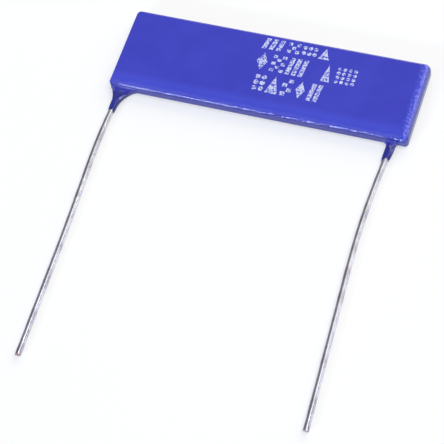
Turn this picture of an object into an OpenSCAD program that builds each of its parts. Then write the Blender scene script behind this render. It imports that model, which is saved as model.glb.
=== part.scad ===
// Flat thick film resistor with two parallel wire leads, in millimetres.
// A printed ceramic plate carries the leads on its back and is dipped in blue epoxy.
// The origin is the centre of the coated body's back face. X runs along the row of
// leads, the leads leave towards -Y, and +Z is the marked front face.

/* [Leads] */
// Diameter of the tinned copper wire
wire_d = 0.81; // [0.6:0.01:1]
// Distance between the two leads where they leave the body
lead_pitch = 38.1; // [25:0.1:50]
// How far the pair of leads sits off the middle of the body
lead_offset = -0.28; // [-0.3:0.01:0.3]
// Length of wire soldered down on the ceramic plate
wire_overlap = 4.2; // [3:0.1:4.4]

/* [Left lead] */
// Slant of the wire as it leaves the body, in degrees
left_exit_angle = -2.9; // [-4:0.1:4]
// Straight run from the body's edge to the first bend
left_first_run = 3.8; // [3.7:0.1:8]
// Radius of the first bend
left_first_radius = 89; // [40:1:150]
// Slant after the first bend, in degrees
left_middle_angle = 2.4; // [0.5:0.1:5]
// Straight run between the bends
left_middle_run = 7.6; // [4:0.1:10]
// Radius of the second bend
left_second_radius = 300; // [100:10:400]
// Slant of the free end, in degrees
left_end_angle = 1.2; // [-1:0.1:2]
// Free length from the body's edge to the cut end
left_free_length = 41.2; // [36:0.1:60]

/* [Right lead] */
// Slant of the wire as it leaves the body, in degrees
right_exit_angle = -3.1; // [-4:0.1:4]
// Straight run from the body's edge to the bend
right_first_run = 6.2; // [3.7:0.1:10]
// Radius of the bend
right_radius = 118; // [60:1:180]
// Slant of the free end, in degrees
right_end_angle = 3.2; // [1:0.1:5]
// Free length from the body's edge to the cut end
right_free_length = 42.1; // [30:0.1:60]

/* [Ceramic plate] */
// Height of the coated body, from the lead edge to the far edge
body_height = 12.2; // [11.5:0.1:20]
// Thickness of the ceramic plate
plate_t = 0.635; // [0.5:0.005:1]
// Size of the snapped-off corners of the plate
plate_corner = 0.3; // [0.1:0.05:0.3]
// Depth of the scribed step left along the plate's edges
scribe_depth = 0.08; // [0.05:0.01:0.12]
// Share of the plate's thickness that the scribe went through
scribe_share = 0.35; // [0.2:0.05:0.5]

/* [Printed films] */
// Thickness of the fired conductor and resistor films
film_t = 0.03; // [0.02:0.005:0.04]
// Thickness of the glass over the films, from the plate's surface
glaze_t = 0.06; // [0.05:0.005:0.08]
// Conductor pad beyond the wire, towards the body's end
pad_outer = 1.1; // [1:0.05:1.1]
// Conductor pad beyond the wire, towards the body's middle
pad_inner = 1.75; // [1.6:0.05:2]
// Length of the conductor pad
pad_length = 5; // [4.8:0.1:5.2]
// Radius of the conductor pad's inner corners
pad_round = 0.4; // [0.2:0.05:0.6]
// The pad stays this far inside the plate's lead edge
pad_margin = 0.2; // [0.1:0.05:0.25]
// Width of the resistor line
track_w = 0.45; // [0.3:0.05:0.6]
// Number of parallel legs in the winding line, an even number
track_legs = 22; // [14:2:26]
// Gap from the first leg's middle to the conductor pad
track_lead_in = 0.9; // [0.7:0.05:1.2]
// Distance from the winding line's outer turns to the plate's long edges
track_margin = 0.8; // [0.7:0.05:1.2]
// Height of the solid trimming block at the middle turn
trim_block = 2.4; // [1.5:0.1:3]
// Length of the laser cut into the trimming block
trim_cut = 1.5; // [0.8:0.1:2]
// Width of the laser cut
trim_kerf = 0.1; // [0.06:0.01:0.15]
// How far the glass laps onto each pad
glaze_lap = 0.3; // [0.2:0.05:0.4]
// Distance from the glass to the plate's long edges
glaze_margin = 0.4; // [0.3:0.05:0.6]

/* [Solder] */
// Solder between the wire and its pad
solder_gap = 0.03; // [0.02:0.005:0.06]
// Solder skin around the wire
solder_skin = 0.06; // [0.04:0.01:0.08]
// Radius of the solder fillet between wire and pad
solder_fillet = 0.45; // [0.3:0.05:0.45]
// Thickness of the fillet's foot on the pad
solder_foot = 0.04; // [0.03:0.01:0.06]
// Solder beyond the wire's inner end
solder_cap = 0.3; // [0.2:0.05:0.4]
// Bare pad left between its lead-side edge and the solder
solder_setback = 0.15; // [0.1:0.05:0.3]

/* [Coating] */
// Distance from each lead to the body's end
end_margin = 1.875; // [1.8:0.025:4]
// Coating over the ceramic plate's front
front_cover = 0.295; // [0.25:0.005:0.6]
// Coating behind the lead wires
back_cover = 0.2; // [0.15:0.01:0.4]
// Coating around the plate's four edges
edge_cover = 0.6; // [0.5:0.05:0.65]
// Width of the soft shoulder along the lead edge
lead_shoulder_w = 2; // [1.2:0.1:2.4]
// Depth of the soft shoulder along the lead edge
lead_shoulder_h = 0.85; // [0.5:0.05:0.9]
// Width of the soft shoulder at the right end
end_shoulder_w = 1.5; // [1:0.1:2]
// Depth of the soft shoulder at the right end
end_shoulder_h = 0.8; // [0.5:0.05:0.85]
// Round of the crisp front edges, at the far edge and the left end
crisp_round = 0.35; // [0.2:0.05:0.5]
// Round of the back edges
heel_round = 0.45; // [0.3:0.05:0.5]
// Corner radius at the far edge, right end
far_right_r = 0.65; // [0.4:0.05:1]
// Corner radius at the far edge, left end
far_left_r = 0.5; // [0.3:0.05:1]
// Corner radius at the lead edge, left end
lead_left_r = 0.3; // [0.2:0.05:1]
// Corner radius at the lead edge, right end
lead_right_r = 0.5; // [0.3:0.05:1]

/* [Coating on the leads] */
// Coating on the wire at the tip of each run-down
tip_skin = 0.07; // [0.05:0.01:0.1]
// Length of the left run-down
left_run_down = 3.7; // [2.5:0.1:3.7]
// Length of the right run-down
right_run_down = 3.1; // [2.5:0.1:3.6]
// Spread of the left run-down on the body, towards the left end
left_spread_out = 0.75; // [0.4:0.05:0.8]
// Length over which that spread dies away
left_fade_out = 0.35; // [0.2:0.05:0.8]
// Spread of the left run-down on the body, towards the middle
left_spread_in = 2; // [1:0.05:2.4]
// Length over which that spread dies away
left_fade_in = 0.85; // [0.5:0.05:1.1]
// Extra coating on the left run-down's outer side
left_bulge_out = 0.13; // [0:0.01:0.3]
// Extra coating on the left run-down's inner side
left_bulge_in = 0.06; // [0:0.01:0.3]
// Spread of the right run-down on the body, towards the middle
right_spread_in = 0.8; // [0.4:0.05:1.5]
// Length over which that spread dies away
right_fade_in = 0.2; // [0.15:0.05:0.8]
// Spread of the right run-down on the body, towards the right end
right_spread_out = 0.5; // [0.3:0.05:0.8]
// Length over which that spread dies away
right_fade_out = 0.3; // [0.2:0.05:0.8]
// Extra coating on the right run-down's inner side
right_bulge_in = 0.12; // [0:0.01:0.3]
// Extra coating on the right run-down's outer side
right_bulge_out = 0.2; // [0:0.01:0.3]
// Rise of both run-downs towards the front face
rise = 0.3; // [0.15:0.01:0.4]

/* [Marking] */
// Thickness of the white ink
ink_t = 0.02; // [0.01:0.005:0.03]
// Left end of the three rows of marks
marks_x = -2.15; // [-6:0.05:2]
// Distance from the far edge to the middle of the second row
marks_drop = 4.4; // [4.4:0.05:6]
// Distance between rows
row_pitch = 3.4; // [3:0.05:3.4]
// Height of a full mark
mark_h = 2.75; // [2:0.05:2.8]
// Height left of the first row, which the far edge cuts off
first_row_h = 1.75; // [1:0.05:1.8]
// Width of the slanted bars
stroke = 0.6; // [0.4:0.02:0.7]
// Bare gap between neighbouring dots or tiles
dot_gap = 0.16; // [0.1:0.02:0.2]
// Indent of the third row
third_row_indent = 0.5; // [0:0.05:1]

/* [Hidden] */

$fn = 48;
// Depth by which a cutting tool passes the face that it cuts
through = 1;
// Length and extra radius of the sleeves that fuse a wire's runs and bends
sleeve_l = 0.1;
sleeve_ease = 0.004;

wire_r = wire_d / 2;
left_x = lead_offset - lead_pitch / 2;
right_x = lead_offset + lead_pitch / 2;
body_length = lead_pitch + 2 * end_margin;
half_l = body_length / 2;
half_h = body_height / 2;

// Levels of the stack, from the back face up
wire_z = back_cover + wire_r;
pad_z = back_cover + wire_d + solder_gap;
film_z = pad_z + film_t;
plate_top = film_z + plate_t;
body_t = plate_top + front_cover;

plate_l = body_length - 2 * edge_cover;
plate_h = body_height - 2 * edge_cover;

// The wire's inner end, measured inwards from the body's lead edge
wire_inside = edge_cover + wire_overlap;

// A pad is centred on its wire where the middle of the overlap lies
function wire_x_on_plate(x, angle) = x - tan(angle) * (edge_cover + wire_overlap / 2);
left_pad_x = wire_x_on_plate(left_x, left_exit_angle);
right_pad_x = wire_x_on_plate(right_x, right_exit_angle);
pad_y = pad_margin - plate_h / 2;

// The plate is centred between its pads
plate_x = (left_pad_x + right_pad_x) / 2;

track_x0 = left_pad_x + pad_inner;
track_x1 = right_pad_x - pad_inner;
leg_pitch = (track_x1 - track_x0 - 2 * track_lead_in) / (track_legs - 1);
turn_y = plate_h / 2 - track_margin - track_w / 2;
stub_y = pad_y + pad_length / 2;

// ---- Ceramic plate ----

// Outline of the plate, drawn in by d, with its corners snapped off
module plate_outline(d) {
    x = plate_l / 2 - d;
    y = plate_h / 2 - d;
    c = plate_corner;
    polygon([
        [c - x, -y], [x - c, -y], [x, c - y], [x, y - c],
        [x - c, y], [c - x, y], [-x, y - c], [-x, c - y]
    ]);
}

module plate_block() {
    scribe_h = plate_t * scribe_share;
    translate([plate_x, 0, film_z])
        linear_extrude(plate_t - scribe_h)
            plate_outline(0);
    translate([plate_x, 0, plate_top - scribe_h])
        linear_extrude(scribe_h)
            plate_outline(scribe_depth);
}

module ceramic_substrate() {
    color("whitesmoke") plate_block();
}

// ---- Printed films ----

// A flat film under the plate, drawn in 2D, of thickness t
module film(t) {
    translate([0, 0, film_z - t])
        linear_extrude(t)
            children();
}

// Pad with two rounded corners at its inner end; dir is 1 when the body's end is at -X
module pad_outline(x, dir) {
    x0 = x - dir * pad_outer;
    w = pad_outer + pad_inner;
    left = dir > 0 ? x0 : x0 - w;
    translate([left, pad_y]) {
        square([w, pad_length - pad_round]);
        translate([pad_round, 0])
            square([w - 2 * pad_round, pad_length]);
        for (cx = [pad_round, w - pad_round])
            translate([cx, pad_length - pad_round])
                circle(pad_round);
    }
}

module left_termination_pad() {
    color("silver") film(film_t) pad_outline(left_pad_x, 1);
}

module right_termination_pad() {
    color("silver") film(film_t) pad_outline(right_pad_x, -1);
}

function leg_x(i) = track_x0 + track_lead_in + i * leg_pitch;

// Middle line of the winding track; lap carries its two ends on over the pads
function track_path(lap) =
    let (last = track_legs - 1)
        concat(
            [[track_x0 - lap, stub_y], [leg_x(0), stub_y], [leg_x(0), turn_y]],
            [
                for (i = [1 : last - 1])
                    let (start = i % 2 == 1 ? turn_y : -turn_y)
                        each [[leg_x(i), start], [leg_x(i), -start]]
            ],
            [[leg_x(last), turn_y], [leg_x(last), stub_y], [track_x1 + lap, stub_y]]
        );

function normal(a, b) = [a.y - b.y, b.x - a.x] / norm(b - a);

// Corner i of a square-cornered path, moved sideways by d
function beside(path, i, d) =
    let (
        before = i > 0 ? normal(path[i - 1], path[i]) : [0, 0],
        after = i < len(path) - 1 ? normal(path[i], path[i + 1]) : [0, 0]
    ) path[i] + d * (before + after);

// Winding resistor line between the pads, with a trimming block at its middle turn
module track_outline(lap = 0) {
    path = track_path(lap);
    last = len(path) - 1;
    middle = 2 * floor(track_legs / 4);
    middle_x = leg_x(middle) + leg_pitch / 2;
    difference() {
        union() {
            polygon(concat(
                [for (i = [0 : last]) beside(path, i, -track_w / 2)],
                [for (i = [last : -1 : 0]) beside(path, i, track_w / 2)]
            ));
            translate([middle_x - leg_pitch / 2, turn_y - trim_block])
                square([leg_pitch, trim_block]);
        }
        translate([middle_x - trim_kerf / 2, turn_y - trim_block - through])
            square([trim_kerf, trim_cut + through]);
    }
}

module resistive_track() {
    color("#2b2b30") film(film_t) track_outline();
}

module glaze_slab() {
    x0 = track_x0 - glaze_lap;
    y0 = glaze_margin - plate_h / 2;
    film(glaze_t)
        translate([x0, y0])
            square([track_x1 + glaze_lap - x0, -2 * y0]);
}

module glass_overglaze() {
    color("seagreen")
        difference() {
            glaze_slab();
            film(film_t) track_outline(glaze_lap);
            film(film_t) pad_outline(left_pad_x, 1);
            film(film_t) pad_outline(right_pad_x, -1);
        }
}

// ---- Lead wires ----

// Places its children at the point where a wire leaves the body, with -Y along the wire
module at_exit(x, angle) {
    translate([x, -half_h, wire_z])
        rotate([0, 0, angle])
            children();
}

function bend_length(radius, turn) = radius * abs(turn) * PI / 180;

function bend_end(radius, turn) = [sign(turn) * radius * (1 - cos(turn)), -radius * sin(abs(turn)), 0];

module straight_wire(run) {
    rotate([90, 0, 0])
        cylinder(h = run, d = wire_d);
}

module bent_wire(radius, turn) {
    side = sign(turn);
    translate([side * radius, 0, 0])
        rotate([0, 0, side > 0 ? 180 : turn])
            rotate_extrude(angle = abs(turn), start = 0)
                translate([radius, 0])
                    circle(d = wire_d);
}

// Sleeve a hair wider than the wire, over the place where a run and a bend meet
module joint_sleeve() {
    translate([0, sleeve_l / 2, 0])
        rotate([90, 0, 0])
            cylinder(h = sleeve_l, r = wire_r + sleeve_ease);
}

// Straight runs joined by bends; each leg is [run, bend radius, turn in degrees]
module wire_chain(legs, i = 0) {
    run = legs[i][0];
    straight_wire(run);
    if (i < len(legs) - 1) {
        radius = legs[i][1];
        turn = legs[i][2];
        translate([0, -run, 0]) {
            joint_sleeve();
            bent_wire(radius, turn);
            translate(bend_end(radius, turn))
                rotate([0, 0, turn]) {
                    joint_sleeve();
                    wire_chain(legs, i + 1);
                }
        }
    }
}

left_first_turn = left_middle_angle - left_exit_angle;
left_second_turn = left_end_angle - left_middle_angle;
left_last_run = left_free_length - left_first_run - left_middle_run
    - bend_length(left_first_radius, left_first_turn)
    - bend_length(left_second_radius, left_second_turn);
right_turn = right_end_angle - right_exit_angle;
right_last_run = right_free_length - right_first_run - bend_length(right_radius, right_turn);

left_legs = [
    [wire_inside + left_first_run, left_first_radius, left_first_turn],
    [left_middle_run, left_second_radius, left_second_turn],
    [left_last_run]
];
right_legs = [
    [wire_inside + right_first_run, right_radius, right_turn],
    [right_last_run]
];

module wire(x, angle, legs) {
    at_exit(x, angle)
        translate([0, wire_inside, 0])
            wire_chain(legs);
}

// The straight first run alone, which is all that solder and coating close around
module wire_root(x, angle, legs) {
    at_exit(x, angle)
        translate([0, wire_inside, 0])
            straight_wire(legs[0][0]);
}

module left_lead_wire() {
    color("lightgray") wire(left_x, left_exit_angle, left_legs);
}

module right_lead_wire() {
    color("lightgray") wire(right_x, right_exit_angle, right_legs);
}

// ---- Solder joints ----

solder_r = wire_r + solder_skin;
// Height of the fillet's own floor above the wire's axis
fillet_floor = wire_r + solder_gap - solder_foot;
fillet_x = sqrt(pow(solder_r + solder_fillet, 2) - pow(fillet_floor - solder_fillet, 2));

// Cross-section of a joint, with the wire's axis at the origin and the pad above
module solder_profile() {
    touch = solder_r / (solder_r + solder_fillet);
    touch_x = fillet_x * touch;
    touch_y = (fillet_floor - solder_fillet) * touch;
    pad_level = wire_r + solder_gap;
    difference() {
        circle(solder_r);
        translate([-solder_r, pad_level])
            square(2 * solder_r);
    }
    difference() {
        polygon([
            [-fillet_x, pad_level], [-fillet_x, fillet_floor], [-touch_x, touch_y],
            [touch_x, touch_y], [fillet_x, fillet_floor], [fillet_x, pad_level]
        ]);
        for (side = [-1, 1])
            translate([side * fillet_x, fillet_floor - solder_fillet])
                circle(solder_fillet);
    }
}

module solder_body(x, angle) {
    start = edge_cover + pad_margin + solder_setback;
    at_exit(x, angle)
        translate([0, wire_inside + solder_cap, 0])
            rotate([90, 0, 0])
                linear_extrude(wire_inside + solder_cap - start)
                    solder_profile();
}

module solder_joint(x, angle, legs) {
    color("gainsboro")
        difference() {
            solder_body(x, angle);
            wire_root(x, angle, legs);
        }
}

module left_solder_joint() {
    solder_joint(left_x, left_exit_angle, left_legs);
}

module right_solder_joint() {
    solder_joint(right_x, right_exit_angle, right_legs);
}

// ---- Epoxy coating ----

// The body's sides, in the order right end, far edge, left end, lead edge
shoulder_w = [end_shoulder_w, crisp_round, crisp_round, lead_shoulder_w];
shoulder_h = [end_shoulder_h, crisp_round, crisp_round, lead_shoulder_h];
corner_r = [far_right_r, far_left_r, lead_left_r, lead_right_r];
// Share of its insets by which a corner's radius grows towards the front face
corner_opening = 0.2;
corner_steps = 8;
shoulder_steps = 9;
heel_steps = 4;

// Drop of the shoulder curve at t, from 0 on the flat face to 1 at the outline
function shoulder_drop(t) = 1 - sqrt(1 - pow(t, 3));

// Point on corner i at step j of a ring, with the sides' insets and levels
function ring_point(i, j, inset, level) =
    let (
        next = (i + 1) % 4,
        sx = i == 0 || i == 3 ? 1 : -1,
        sy = i < 2 ? 1 : -1,
        along_x = inset[sx > 0 ? 0 : 2],
        along_y = inset[sy > 0 ? 1 : 3],
        r = corner_r[i] + corner_opening * (along_x + along_y),
        f = j / corner_steps,
        a = 90 * (i + f)
    ) [
        sx * (half_l - along_x - r) + r * cos(a),
        sy * (half_h - along_y - r) + r * sin(a),
        level[i] * (1 - f) + level[next] * f
    ];

function ring(inset, level) =
    [for (i = [0 : 3]) for (j = [0 : corner_steps]) ring_point(i, j, inset, level)];

// Rings from the back face up to the flat front face
heel_rings = [
    for (k = [0 : heel_steps])
        let (a = 90 * k / heel_steps)
            ring([for (s = [0 : 3]) heel_round * (1 - sin(a))],
                 [for (s = [0 : 3]) heel_round * (1 - cos(a))])
];
shoulder_rings = [
    for (k = [0 : shoulder_steps])
        let (t = sin(90 * (1 - k / shoulder_steps)))
            ring([for (s = [0 : 3]) shoulder_w[s] * (1 - t)],
                 [for (s = [0 : 3]) body_t - shoulder_h[s] * shoulder_drop(t)])
];

// Closed skin over a stack of rings that all have as many points
module skin(rings) {
    n = len(rings[0]);
    m = len(rings);
    sides = [
        for (k = [0 : m - 2]) for (j = [0 : n - 1])
            let (a = k * n + j, b = k * n + (j + 1) % n)
                each [[a, b + n, b], [a, a + n, b + n]]
    ];
    floor_face = [for (j = [0 : n - 1]) j];
    top_face = [for (j = [n - 1 : -1 : 0]) (m - 1) * n + j];
    polyhedron(
        points = [for (r = rings) each r],
        faces = concat([floor_face], sides, [top_face]),
        convexity = 4
    );
}

// What is left of a spread at distance s from the body's lead edge
function fade(s, length) = exp(-max(s, 0) / length);

run_down_sides = 24;
// Share of the coating behind the wire that the run-down's underside keeps at its root
sag_share = 0.6;

// One ring of a run-down around its wire; the lists hold the -X side and the +X side
function run_down_ring(s, spread, fades, bulge, length) =
    let (
        core = wire_r + tip_skin,
        gone = [fade(s, fades[0]), fade(s, fades[1])],
        lasting = max(gone[0], gone[1]),
        full = 1 - pow(max(s, 0) / length, 4),
        low = core + spread[0] * gone[0] + bulge[0] * full,
        high = core + spread[1] * gone[1] + bulge[1] * full,
        up = core + rise * lasting,
        down = core + (back_cover - tip_skin) * sag_share * lasting
    ) [
        for (j = [0 : run_down_sides - 1])
            let (a = 360 * j / run_down_sides, c = cos(a), v = sin(a))
                [c * (c > 0 ? high : low), -s, v * (v > 0 ? up : down)]
    ];

// Coating that ran down a lead: rings from inside the body to the tip on the wire
run_down_steps = 12;
module run_down(x, angle, spread, fades, bulge, length) {
    root = -2 * heel_round;
    at_exit(x, angle)
        skin(concat(
            [run_down_ring(root, spread, fades, bulge, length)],
            [
                for (k = [0 : run_down_steps])
                    run_down_ring(length * pow(k / run_down_steps, 1.5), spread, fades, bulge, length)
            ]
        ));
}

module coating_form() {
    skin(concat(heel_rings, shoulder_rings));
    run_down(left_x, left_exit_angle, [left_spread_out, left_spread_in],
             [left_fade_out, left_fade_in], [left_bulge_out, left_bulge_in], left_run_down);
    run_down(right_x, right_exit_angle, [right_spread_in, right_spread_out],
             [right_fade_in, right_fade_out], [right_bulge_in, right_bulge_out], right_run_down);
}

module epoxy_coating() {
    color("#4649be")
        difference() {
            coating_form();
            plate_block();
            glaze_slab();
            film(film_t) pad_outline(left_pad_x, 1);
            film(film_t) pad_outline(right_pad_x, -1);
            solder_body(left_x, left_exit_angle);
            solder_body(right_x, right_exit_angle);
            wire_root(left_x, left_exit_angle, left_legs);
            wire_root(right_x, right_exit_angle, right_legs);
        }
}

// ---- Marking ----

// Slanted bars side by side
module slants(w, h, count) {
    gap = (w - count * stroke) / count;
    for (i = [0 : count - 1])
        translate([i * (stroke + gap), 0])
            polygon([[0, 0], [stroke, 0], [stroke + gap, h], [gap, h]]);
}

// Grid of round dots
dot_sides = 24;
module dots(w, h, across, up) {
    r = min(w / across, h / up) / 2 - dot_gap / 2;
    for (i = [0 : across - 1], j = [0 : up - 1])
        translate([(i + 0.5) * w / across, (j + 0.5) * h / up])
            circle(r, $fn = dot_sides);
}

module lozenge(w, h) {
    polygon([[w / 2, 0], [w, h / 2], [w / 2, h], [0, h / 2]]);
}

// Every other tile of a chequered field
module tiles(w, h, across, up) {
    tile = [w / across, h / up];
    for (i = [0 : across - 1], j = [0 : up - 1])
        if ((i + j) % 2 == 0)
            translate([i * tile.x + dot_gap / 4, j * tile.y + dot_gap / 4])
                square([tile.x - dot_gap / 2, tile.y - dot_gap / 2]);
}

module wedge(w, h) {
    polygon([[0, 0], [w, 0], [w / 2, h]]);
}

// The marks are laid out on a grid of square cells
cell = mark_h / 11;

module at_cell(i) {
    translate([i * cell, 0])
        children();
}

module first_row() {
    slants(12 * cell, first_row_h, 3);
    at_cell(14) tiles(7 * cell, first_row_h, 3, 3);
    at_cell(22) dots(9 * cell, first_row_h, 3, 2);
    at_cell(32) wedge(6 * cell, first_row_h);
}

module second_row() {
    lozenge(6 * cell, mark_h);
    at_cell(8) tiles(8 * cell, mark_h, 3, 5);
    at_cell(17) slants(11 * cell, mark_h, 3);
    at_cell(37) wedge(5 * cell, mark_h);
    at_cell(44) dots(12 * cell, mark_h, 4, 4);
}

module third_row() {
    dots(7 * cell, mark_h, 2, 3);
    at_cell(8) wedge(7 * cell, mark_h);
    at_cell(16) tiles(6 * cell, mark_h, 2, 4);
    at_cell(24) lozenge(5 * cell, mark_h);
    at_cell(31) slants(7 * cell, mark_h, 2);
}

module marking_ink() {
    color("lavender")
        translate([marks_x, half_h - marks_drop - mark_h / 2, body_t])
            linear_extrude(ink_t) {
                translate([0, row_pitch]) first_row();
                second_row();
                translate([third_row_indent, -row_pitch]) third_row();
            }
}

ceramic_substrate();
left_termination_pad();
right_termination_pad();
resistive_track();
glass_overglaze();
left_lead_wire();
right_lead_wire();
left_solder_joint();
right_solder_joint();
epoxy_coating();
marking_ink();
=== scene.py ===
"""Studio scene of a flat thick film resistor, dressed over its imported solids.

The row frame is in metres: X runs along the row of leads, the leads leave
towards -Y, +Z is the marked front face and the back face lies on Z = 0.
Sizes in this file are in millimetres and are scaled where a mesh is made.
"""

import logging
from dataclasses import dataclass
from enum import Enum
from math import copysign, cos, pi, radians, sin, sqrt
from typing import Any, Sequence

import bmesh
import bpy
import numpy as np
from bpy.types import Material, Node, NodeTree, Object
from mathutils import Matrix, Vector


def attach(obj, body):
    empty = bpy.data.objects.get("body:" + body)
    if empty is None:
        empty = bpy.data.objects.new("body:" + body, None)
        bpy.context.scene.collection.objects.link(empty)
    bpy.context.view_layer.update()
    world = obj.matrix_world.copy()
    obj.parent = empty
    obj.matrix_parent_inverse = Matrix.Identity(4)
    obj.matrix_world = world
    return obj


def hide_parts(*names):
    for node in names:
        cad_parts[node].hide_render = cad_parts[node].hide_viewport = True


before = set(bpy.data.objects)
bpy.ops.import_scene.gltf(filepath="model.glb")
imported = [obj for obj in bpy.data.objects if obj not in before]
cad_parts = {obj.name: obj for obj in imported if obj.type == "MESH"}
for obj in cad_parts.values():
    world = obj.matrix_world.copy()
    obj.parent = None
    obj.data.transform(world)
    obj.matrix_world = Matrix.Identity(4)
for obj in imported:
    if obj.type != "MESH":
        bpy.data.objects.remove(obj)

LOG = logging.getLogger("thick_film_resistor")
MM = 0.001
BODY = "root"
SAME_POINT = 1e-8
CUT_FACE = 0.00003
WIRE_SIDES = 40
DOT_SIDES = 24

Array = np.ndarray
Pair = tuple[float, float]
Triple = tuple[float, float, float]


# --- node trees ---


class Signal:
    """One output of a node, which can be used in arithmetic."""

    def __init__(self, tree: "Tree", node: Node, output: str | int = 0) -> None:
        """Keeps the node, its tree and the name or number of the output."""
        self.tree = tree
        self.node = node
        self.output = output

    def out(self, output: str | int) -> "Signal":
        """Another output of the same node."""
        return Signal(self.tree, self.node, output)

    def __add__(self, other: Any) -> "Signal":
        """Sum of two signals or of a signal and a number."""
        return self.tree.maths("ADD", self, other)

    def __sub__(self, other: Any) -> "Signal":
        """Difference of two signals or of a signal and a number."""
        return self.tree.maths("SUBTRACT", self, other)

    def __rsub__(self, other: Any) -> "Signal":
        """Difference with the number on the left."""
        return self.tree.maths("SUBTRACT", other, self)

    def __mul__(self, other: Any) -> "Signal":
        """Product of two signals or of a signal and a number."""
        return self.tree.maths("MULTIPLY", self, other)

    __radd__ = __add__
    __rmul__ = __mul__

    def step(self, low: Any, high: Any) -> "Signal":
        """The signal carried smoothly from 0 at the low value to 1 at the high one."""
        values = {"Value": self, "From Min": low, "From Max": high}
        return self.tree.node("ShaderNodeMapRange", values, interpolation_type="SMOOTHSTEP")


class Tree:
    """A node tree that its methods fill."""

    def __init__(self, tree: NodeTree) -> None:
        """Keeps the tree."""
        self.tree = tree

    def node(self, kind: str, inputs: dict[str | int, Any] | None = None, **settings: Any) -> Signal:
        """Adds a node.

        Args:
            kind: Blender's name for the node's type.
            inputs: A value or a signal for each named or numbered input.
            settings: The node's own settings, which are set first.

        Returns:
            The node's first output.
        """
        made = self.tree.nodes.new(kind)
        for name, value in settings.items():
            setattr(made, name, value)
        for name, value in (inputs or {}).items():
            if isinstance(value, Signal):
                self.tree.links.new(value.node.outputs[value.output], made.inputs[name])
            else:
                made.inputs[name].default_value = value
        return Signal(self, made)

    def maths(self, operation: str, a: Any, b: Any = 0.0) -> Signal:
        """Result of a Math node for two numbers or signals."""
        return self.node("ShaderNodeMath", {0: a, 1: b}, operation=operation)


class ShaderTree(Tree):
    """A material's node tree."""

    def __init__(self, name: str) -> None:
        """Makes an empty material of that name."""
        self.material = bpy.data.materials.new(name)
        self.material.use_nodes = True
        super().__init__(self.material.node_tree)
        self.tree.nodes.clear()

    def mix(self, share: Any, a: Any, b: Any) -> Signal:
        """Mixes two colours.

        Args:
            share: Share of the second colour.
            a: Colour or signal at a share of 0.
            b: Colour or signal at a share of 1.

        Returns:
            The mixed colour.
        """
        pair = [c if isinstance(c, Signal) else (*c, 1.0) for c in (a, b)]
        inputs = {0: share, 6: pair[0], 7: pair[1]}
        return self.node("ShaderNodeMix", inputs, data_type="RGBA").out(2)

    def place(self) -> Signal:
        """The point on the object, in metres in the row frame."""
        return self.node("ShaderNodeTexCoord").out("Object")

    def stretched(self, scale: Sequence[float]) -> Signal:
        """Object coordinates scaled on each axis."""
        inputs = {"Vector": self.place(), "Scale": tuple(scale)}
        return self.node("ShaderNodeMapping", inputs)

    def noise(self, scale: float, detail: float, vector: Signal | None = None) -> Signal:
        """Noise of about 0.2 to 0.8, with its waves to the metre, octaves and coordinates."""
        inputs = {"Vector": vector or self.place(), "Scale": scale, "Detail": detail}
        return self.node("ShaderNodeTexNoise", inputs)

    def bump(self, height: Signal, depth: float) -> Signal:
        """Normal turned by a height, whose unit is a depth in metres."""
        inputs = {"Height": height, "Distance": depth, "Strength": 1.0}
        return self.node("ShaderNodeBump", inputs)

    def surface(self, shader: Signal) -> Material:
        """Ends the tree with that shader and returns the material."""
        self.node("ShaderNodeOutputMaterial", {"Surface": shader})
        return self.material

    def principled(
        self,
        colour: Signal,
        roughness: Signal,
        normal: Signal,
        metallic: float = 0.0,
        specular: float = 0.5,
    ) -> Material:
        """Ends the tree with a Principled shader.

        Args:
            colour: Base colour.
            roughness: Roughness, from 0 to 1.
            normal: Normal with the bumps in it.
            metallic: Share of bare metal.
            specular: Strength of the mirror-like share, where 0.5 is plain.

        Returns:
            The material.
        """
        inputs = {"Base Color": colour, "Roughness": roughness, "Normal": normal}
        inputs |= {"Metallic": metallic, "Specular IOR Level": specular}
        return self.surface(self.node("ShaderNodeBsdfPrincipled", inputs))


def linear(red: int, green: int, blue: int) -> Triple:
    """Turns a display colour of 0 to 255 into the linear one that shaders take."""
    parts = [c / 255 for c in (red, green, blue)]
    return tuple(
        c / 12.92 if c <= 0.04045 else ((c + 0.055) / 1.055) ** 2.4 for c in parts
    )


# --- finishes ---


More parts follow.
